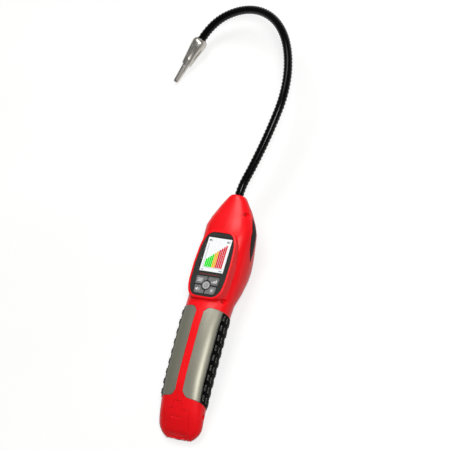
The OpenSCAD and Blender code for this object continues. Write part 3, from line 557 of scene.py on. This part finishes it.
# %% Field and bars
SCREEN_W, SCREEN_H = 30.4, 40.0
FIELD_MARGIN = 0.5  # the lit field runs on a little past the picture
LCD_TOP_MM = -2.66  # the display's front, from the rim plane
LAYER_GAP_MM = 0.01
PICTURE_MM = LCD_TOP_MM + PRINT_MM + LAYER_GAP_MM
right_edge, top_edge = SCREEN_W / 2, SCREEN_H / 2
left_edge, low_edge = -right_edge, -top_edge
plates("screen_field", [box_outline(left_edge - FIELD_MARGIN, low_edge - FIELD_MARGIN,
                                    right_edge + FIELD_MARGIN, top_edge + FIELD_MARGIN)],
       LCD_TOP_MM, lit_white, "case")
BAR_COUNT, BAR_PITCH = 10, 2.3
BAR_LEFT, BAR_FOOT = left_edge + 4.2, low_edge + 5.2
BAR_FIRST, BAR_LAST = 9.5, 27.5  # heights


def bar_outline(index, width):
    """One bar of the graph, counted from the left."""
    x = BAR_LEFT + index * BAR_PITCH
    height = BAR_FIRST + (BAR_LAST - BAR_FIRST) * index / (BAR_COUNT - 1)
    return box_outline(x, BAR_FOOT, x + width, BAR_FOOT + height)


for name, finish, span, width in (("bars_green", lit_green, range(0, 4), 2.05),
                                  ("bars_amber", lit_amber, range(4, 6), 2.1),
                                  ("bars_red", lit_red, range(6, 10), 1.95)):
    plates(name, [bar_outline(i, width) for i in span], PICTURE_MM, finish, "case")

# %% Scale
SCALE_LEFT, SCALE_HEIGHT, SCALE_LINE = left_edge + 2.6, 28, 0.3
TICK_COUNT, TICK_PITCH, TICK_LENGTH, TICK_LINE = 11, 2.6, 0.9, 0.35
BASE_LOW, BASE_HIGH = BAR_FOOT - 0.9, BAR_FOOT - 0.6
scale_line = box_outline(SCALE_LEFT, BAR_FOOT, SCALE_LEFT + SCALE_LINE, BAR_FOOT + SCALE_HEIGHT)
base_line = box_outline(SCALE_LEFT, BASE_LOW, right_edge - 2.5, BASE_HIGH)
tick_feet = [BAR_FOOT + TICK_PITCH * i for i in range(TICK_COUNT)]
ticks = [box_outline(SCALE_LEFT - TICK_LENGTH, foot, SCALE_LEFT, foot + TICK_LINE) for foot in tick_feet]
plates("screen_scale", [scale_line, base_line] + ticks, PICTURE_MM, lit_grey, "case")

# %% Signs in the display's corners
ICON_LINE = 0.35
icon_left, icon_right = right_edge - 6.2, right_edge - 2.2
icon_low, icon_high = top_edge - 4.6, top_edge - 2.4
battery_icon = [
    box_outline(icon_left, icon_low, icon_right, icon_low + ICON_LINE),
    box_outline(icon_left, icon_high - ICON_LINE, icon_right, icon_high),
    box_outline(icon_left, icon_low + ICON_LINE, icon_left + ICON_LINE, icon_high - ICON_LINE),
    box_outline(icon_right - ICON_LINE, icon_low + ICON_LINE, icon_right, icon_high - ICON_LINE),
    box_outline(icon_left + 0.7, icon_low + 0.65, icon_right - 1.4, icon_high - 0.65),  # the charge
]
plates("screen_battery_icon", battery_icon, PICTURE_MM, lit_dark, "case")
sound_x, sound_y = left_edge + 3.4, top_edge - 3.4
sound_wave = stroke(arc(sound_x + 0.4, sound_y, 1.9, -45, 45, 6), 0.5)
plates("screen_sound_icon", [horn_outline(sound_x, sound_y, 1.4), sound_wave],
       PICTURE_MM, lit_dark, "case")
FOOT_LOW, FOOT_HIGH = low_edge + 1.4, low_edge + 2.4
foot_marks = [box_outline(left_edge + 1.6, FOOT_LOW, left_edge + 4.4, FOOT_HIGH),
              box_outline(right_edge - 6.4, FOOT_LOW, right_edge - 2.0, FOOT_HIGH)]
plates("screen_foot_marks", foot_marks, PICTURE_MM, lit_grey, "case")

# %% [markdown]
# ## Print on the bezel and keys
# A thin dark red line parts the display from the keys. The corner keys carry plain pictograms and the
# round key the usual on-off sign. They could be grooves in the keys, but such signs are mostly printed
# flat. The marks on a key ride with that key, so they sink with it when it is pressed.

# %% Red line and on-off sign
BEZEL_TOP_MM, KEY_TOP_MM = -0.6, 0.3  # from the rim plane
KEY_ROW = -36.5  # the round key's middle, from the window's middle
RED_LINE_Y, RED_LINE_HALF, RED_LINE = -23.6, 12.2, 0.55
POWER_LINE = 0.5
plates("bezel_red_line", [stroke([(-RED_LINE_HALF, RED_LINE_Y), (RED_LINE_HALF, RED_LINE_Y)], RED_LINE)],
       BEZEL_TOP_MM, printed_red, "case")
power_ring = stroke(arc(0, KEY_ROW - 0.1, 1.9, 120, 420), POWER_LINE)
power_bar = stroke([(0, KEY_ROW + 0.2), (0, KEY_ROW + 2.4)], POWER_LINE)
plates("power_sign", [power_ring, power_bar], KEY_TOP_MM, printed_dark, "key_power")

# %% Signs on the corner keys
SIGN_X, SIGN_Y = 9.0, 5.4  # from the round key's middle to a corner key's
upper, lower = KEY_ROW + SIGN_Y, KEY_ROW - SIGN_Y
MENU_HALF, MENU_PITCH, MENU_LINE = 3.2, 1.6, 0.75
menu_lines = [[(-SIGN_X - MENU_HALF, upper + rise), (-SIGN_X + MENU_HALF, upper + rise)]
              for rise in (-MENU_PITCH, 0, MENU_PITCH)]
plates("menu_sign", [stroke(line, MENU_LINE) for line in menu_lines], KEY_TOP_MM, printed_pale,
       "key_top_left")
STEP_PITCH, STEP_RISE = 1.8, 0.95
steps = [box_outline(SIGN_X - 3.3 + STEP_PITCH * i, upper - 2.0,
                     SIGN_X - 2.1 + STEP_PITCH * i, upper - 0.9 + STEP_RISE * i) for i in range(4)]
plates("range_sign", steps, KEY_TOP_MM, printed_pale, "key_top_right")
key_wave = stroke(arc(-SIGN_X - 0.2, lower, 2.2, -45, 45, 8), 0.6)
plates("sound_sign", [horn_outline(-SIGN_X - 0.8, lower, 1.7), key_wave],
       KEY_TOP_MM, printed_pale, "key_bottom_left")
RAY_START, RAY_END, RAY_LINE, DISC_RADIUS = 1.5, 2.5, 0.5, 1.0
rays = [[(SIGN_X + reach * math.cos(a), lower + reach * math.sin(a)) for reach in (RAY_START, RAY_END)]
        for a in [math.radians(45 * i) for i in range(8)]]
disc = arc(SIGN_X, lower, DISC_RADIUS, 0, 345, 23)
plates("lamp_sign", [disc] + [stroke(ray, RAY_LINE) for ray in rays],
       KEY_TOP_MM, printed_pale, "key_bottom_right")

# %% [markdown]
# ## Floor
# The instrument lies on a sheet of white paper. Paper bright enough to look pure white would need so
# much light that the red washes out. So the paper is painted a mid grey and adds its own light only
# where it is seen: straight, in a reflection or through the window. It still takes a soft shadow.

# %% White paper
FLOOR_HALF = 6.0
FLOOR_LIFT = 0.72


def lift_where_seen(tree, base, lift):
    """A strength that rises by lift where it is seen: straight, in a reflection or through the window."""
    ray = add_node(tree, "ShaderNodeLightPath")
    seen = add_node(tree, "ShaderNodeMath",
                    {0: ray.outputs["Is Camera Ray"], 1: ray.outputs["Is Glossy Ray"]},
                    operation="MAXIMUM")
    through = add_node(tree, "ShaderNodeMath",
                       {0: seen.outputs["Value"], 1: ray.outputs["Is Transmission Ray"]},
                       operation="MAXIMUM")
    lifted = add_node(tree, "ShaderNodeMath", {0: through.outputs["Value"], 1: lift, 2: base},
                      operation="MULTIPLY_ADD")
    return lifted.outputs["Value"]


corners = [(-FLOOR_HALF, -FLOOR_HALF, 0), (FLOOR_HALF, -FLOOR_HALF, 0),
           (FLOOR_HALF, FLOOR_HALF, 0), (-FLOOR_HALF, FLOOR_HALF, 0)]
floor_mesh = bpy.data.meshes.new("floor")
floor_mesh.from_pydata(corners, [], [(0, 1, 2, 3)])
floor = bpy.data.objects.new("floor", floor_mesh)
bpy.context.scene.collection.objects.link(floor)
floor_paper, tree, shader, place = start_finish("white_paper_sweep", roughness=0.9)
mottle(tree, place, shader, ("#8e8e8d", "#949493"), size_mm=300)
shader.inputs["Emission Color"].default_value = linear("#ffffff")
tree.links.new(lift_where_seen(tree, base=0.0, lift=FLOOR_LIFT), shader.inputs["Emission Strength"])
floor_mesh.materials.append(floor_paper)
print("floor:", 2 * FLOOR_HALF, "m square")

# %% [markdown]
# ## Camera
# The view looks down on the lying instrument from its right, rolled so that the handle runs up to the
# right. It could be set by three turns of the camera object, but its axes are easier to follow when
# they are built from the handle's: first a turn round the handle, then a tilt along it, then the roll.
# A long lens from far off keeps the near and far ends at one scale.

# %% Camera
VIEW_YAW, VIEW_PITCH, VIEW_ROLL = math.radians(30), math.radians(11.6), math.radians(15)
AIM_RISE_MM, AIM_SIDE_MM = 239.7, -5.9  # the picture's middle, along the handle and across it
FRAME_MM = 495  # the picture's width at the object
DISTANCE, FARTHEST = 3.2, 50  # metres to the aim, and as far as the camera looks
SENSOR_MM = 36
side_view = handle_direction(math.cos(VIEW_YAW), 0, -math.sin(VIEW_YAW))
rise_view = handle_direction(math.sin(VIEW_YAW) * math.sin(VIEW_PITCH), math.cos(VIEW_PITCH),
                             math.cos(VIEW_YAW) * math.sin(VIEW_PITCH))
to_camera = side_view.cross(rise_view)
view_right = rise_view * math.sin(VIEW_ROLL) + side_view * math.cos(VIEW_ROLL)
view_up = rise_view * math.cos(VIEW_ROLL) - side_view * math.sin(VIEW_ROLL)
aim = handle_point(0, 0, 0) + (rise_view * AIM_RISE_MM + side_view * AIM_SIDE_MM) * MM
camera_data = bpy.data.cameras.new("camera")
camera_data.sensor_width = SENSOR_MM
camera_data.lens = SENSOR_MM * DISTANCE / (FRAME_MM * MM)
camera_data.clip_end = FARTHEST
camera = bpy.data.objects.new("camera", camera_data)
bpy.context.scene.collection.objects.link(camera)
camera_pose = Matrix((view_right, view_up, to_camera)).transposed().to_4x4()
camera_pose.translation = aim + to_camera * DISTANCE
camera.matrix_world = camera_pose
bpy.context.scene.camera = camera
print("lens:", round(camera_data.lens), "mm, from", DISTANCE, "m")

# %% [markdown]
# ## Lamps and surround
# A large soft lamp stands beyond the nose, so that the heel and the right flank fall off and the case
# looks round. A smaller one close to the camera draws the bright band along the right panel and the
# line on the gooseneck. One lamp could not do both: the band needs a small source, and a small source
# alone makes hard shadows. The white surround adds a little light from all sides.

# %% Lamps and surround
SURROUND_BASE, SURROUND_LIFT = 0.06, 0.1


def in_view(right, up, front):
    """A direction given as the camera sees it."""
    return to_camera * front + view_right * right + view_up * up


def soft_lamp(name, direction, distance, size, watts):
    """A square area lamp that shines at the middle of the object."""
    data = bpy.data.lights.new(name, "AREA")
    data.size = size
    data.energy = watts
    lamp = bpy.data.objects.new(name, data)
    bpy.context.scene.collection.objects.link(lamp)
    lamp.location = aim + direction.normalized() * distance
    lamp.rotation_euler = (-direction).to_track_quat("-Z", "Y").to_euler()
    print(name + ":", watts, "W,", size, "m square")


soft_lamp("key_lamp", in_view(right=-0.3, up=0.78, front=0.55), distance=2.6, size=1.4, watts=40)
soft_lamp("band_lamp", in_view(right=0.05, up=0.18, front=1.0), distance=2.6, size=0.5, watts=40)
world = bpy.data.worlds.new("surround")
bpy.context.scene.world = world
world.use_nodes = True
sky = world.node_tree.nodes["Background"]
sky.inputs["Color"].default_value = linear("#ffffff")
sky_strength = lift_where_seen(world.node_tree, base=SURROUND_BASE, lift=SURROUND_LIFT)
world.node_tree.links.new(sky_strength, sky.inputs["Strength"])
bpy.context.scene.view_settings.view_transform = "Standard"
